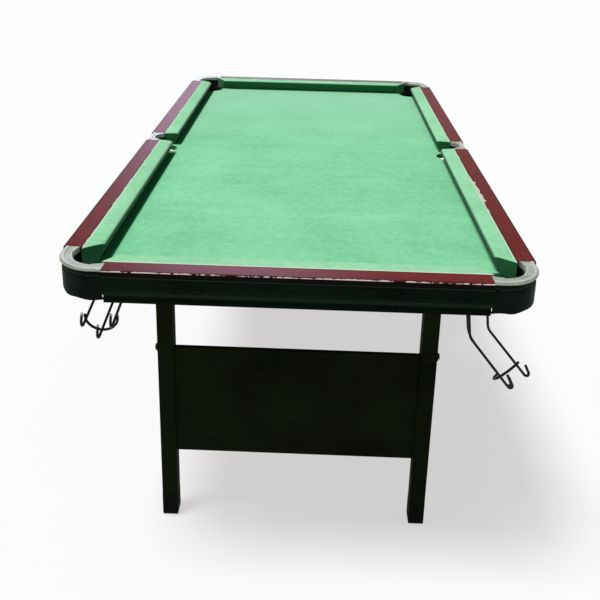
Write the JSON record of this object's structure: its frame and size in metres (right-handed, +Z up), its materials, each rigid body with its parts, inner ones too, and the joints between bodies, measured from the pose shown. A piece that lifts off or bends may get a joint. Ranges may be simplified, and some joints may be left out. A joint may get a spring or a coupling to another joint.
{
  "type": "folding snooker table",
  "caption": "Home snooker table with cloth-covered bed and cushions, silver pocket castings, wire ball rails under the pockets, and leg frames that fold flat with hook-over stays.",
  "frame": {"origin": "on the floor under the centre of the table top, level with the soles of the feet", "axes": "+Z up, +Y along the length away from the end seen in the picture, +X to the right seen from that end"},
  "size_m": [1.02, 1.9322, 0.806],
  "materials": {
    "cloth": "napped wool cloth",
    "cushion_cloth": "rubber strip covered in cloth",
    "mahogany": "polished laminate",
    "fibreboard": "raw",
    "dark_green_paint": "satin painted board",
    "silver_casting": "satin silver",
    "black_vinyl": "grained",
    "black_plastic": "satin",
    "rubber_foot": "matte",
    "coated_wire": "plastic coated steel",
    "plated_steel": "zinc plated"
  },
  "bodies": {
    "table_top": {"bed_board": "fibreboard", "bed_cloth": "cloth", "bed_battens": "fibreboard", "hinge_boards": "fibreboard", "leg_stops": "dark_green_paint", "rail_near_end": "mahogany", "rail_far_end": "mahogany", "rail_left_near": "mahogany", "rail_left_far": "mahogany", "rail_right_near": "mahogany", "rail_right_far": "mahogany", "rail_liners": "fibreboard", "cushion_near_end": "cushion_cloth", "cushion_far_end": "cushion_cloth", "cushion_left_near": "cushion_cloth", "cushion_left_far": "cushion_cloth", "cushion_right_near": "cushion_cloth", "cushion_right_far": "cushion_cloth", "apron_near_end": "dark_green_paint", "apron_far_end": "dark_green_paint", "apron_left": "dark_green_paint", "apron_right": "dark_green_paint", "casting_near_left": "silver_casting", "casting_near_right": "silver_casting", "casting_far_left": "silver_casting", "casting_far_right": "silver_casting", "casting_middle_left": "silver_casting", "casting_middle_right": "silver_casting", "cover_near_left": "black_vinyl", "cover_near_right": "black_vinyl", "cover_far_left": "black_vinyl", "cover_far_right": "black_vinyl", "pocket_liners": "black_plastic", "leg_hinges": "plated_steel", "wood_screws": "plated_steel", "stay_brackets": "plated_steel", "rail_clips": "coated_wire"},
    "leg_frame_near": {"leg_near_left": "dark_green_paint", "leg_near_right": "dark_green_paint", "panel_near": "dark_green_paint", "stretcher_near": "dark_green_paint", "feet_near": "rubber_foot", "pins_near": "plated_steel"},
    "leg_frame_far": {"leg_far_left": "dark_green_paint", "leg_far_right": "dark_green_paint", "panel_far": "dark_green_paint", "stretcher_far": "dark_green_paint", "feet_far": "rubber_foot", "pins_far": "plated_steel"},
    "stay_near_left_body": {"stay_near_left": "plated_steel"},
    "stay_near_right_body": {"stay_near_right": "plated_steel"},
    "stay_far_left_body": {"stay_far_left": "plated_steel"},
    "stay_far_right_body": {"stay_far_right": "plated_steel"},
    "ball_rail_near_left_body": {"ball_rail_near_left": "coated_wire"},
    "ball_rail_near_right_body": {"ball_rail_near_right": "coated_wire"},
    "ball_rail_middle_left_body": {"ball_rail_middle_left": "coated_wire"},
    "ball_rail_middle_right_body": {"ball_rail_middle_right": "coated_wire"},
    "ball_rail_far_left_body": {"ball_rail_far_left": "coated_wire"},
    "ball_rail_far_right_body": {"ball_rail_far_right": "coated_wire"}
  },
  "joints": [
    {"name": "fold_near_legs", "type": "hinge", "parent": "table_top", "child": "leg_frame_near", "pos_m": [0, -0.7305, 0.708], "axis": [1, 0, 0], "range_deg": [0, 90]},
    {"name": "fold_far_legs", "type": "hinge", "parent": "table_top", "child": "leg_frame_far", "pos_m": [0, 0.7305, 0.708], "axis": [-1, 0, 0], "range_deg": [0, 90]},
    {"name": "turn_stay_near_left", "type": "hinge", "parent": "table_top", "child": "stay_near_left_body", "pos_m": [-0.3398, -0.43, 0.722], "axis": [-1, 0, 0], "range_deg": [0, 38]},
    {"name": "turn_stay_near_right", "type": "hinge", "parent": "table_top", "child": "stay_near_right_body", "pos_m": [0.3398, -0.43, 0.722], "axis": [-1, 0, 0], "range_deg": [0, 38]},
    {"name": "turn_stay_far_left", "type": "hinge", "parent": "table_top", "child": "stay_far_left_body", "pos_m": [-0.3398, 0.43, 0.722], "axis": [1, 0, 0], "range_deg": [0, 38]},
    {"name": "turn_stay_far_right", "type": "hinge", "parent": "table_top", "child": "stay_far_right_body", "pos_m": [0.3398, 0.43, 0.722], "axis": [1, 0, 0], "range_deg": [0, 38]},
    {"name": "swing_ball_rail_near_left", "type": "hinge", "parent": "table_top", "child": "ball_rail_near_left_body", "pos_m": [-0.422, -0.735, 0.74494], "axis": [-1, 0, 0], "range_deg": [-31, 4]},
    {"name": "swing_ball_rail_near_right", "type": "hinge", "parent": "table_top", "child": "ball_rail_near_right_body", "pos_m": [0.39279, -0.83727, 0.74494], "axis": [-0.766, -0.6428, 0], "range_deg": [0, 35]},
    {"name": "swing_ball_rail_middle_left", "type": "hinge", "parent": "table_top", "child": "ball_rail_middle_left_body", "pos_m": [-0.441, 0.149, 0.74494], "axis": [-1, 0, 0], "range_deg": [-31, 4]},
    {"name": "swing_ball_rail_middle_right", "type": "hinge", "parent": "table_top", "child": "ball_rail_middle_right_body", "pos_m": [0.441, 0.149, 0.74494], "axis": [-1, 0, 0], "range_deg": [-31, 4]},
    {"name": "swing_ball_rail_far_left", "type": "hinge", "parent": "table_top", "child": "ball_rail_far_left_body", "pos_m": [-0.422, 0.735, 0.74494], "axis": [1, 0, 0], "range_deg": [-31, 4]},
    {"name": "swing_ball_rail_far_right", "type": "hinge", "parent": "table_top", "child": "ball_rail_far_right_body", "pos_m": [0.422, 0.735, 0.74494], "axis": [1, 0, 0], "range_deg": [-31, 4]}
  ],
  "couplings": [
    {"joint": "turn_stay_near_left", "follows": "fold_near_legs", "ratio": 0.42121},
    {"joint": "turn_stay_near_right", "follows": "fold_near_legs", "ratio": 0.42121},
    {"joint": "turn_stay_far_left", "follows": "fold_far_legs", "ratio": 0.42121},
    {"joint": "turn_stay_far_right", "follows": "fold_far_legs", "ratio": 0.42121}
  ]
}
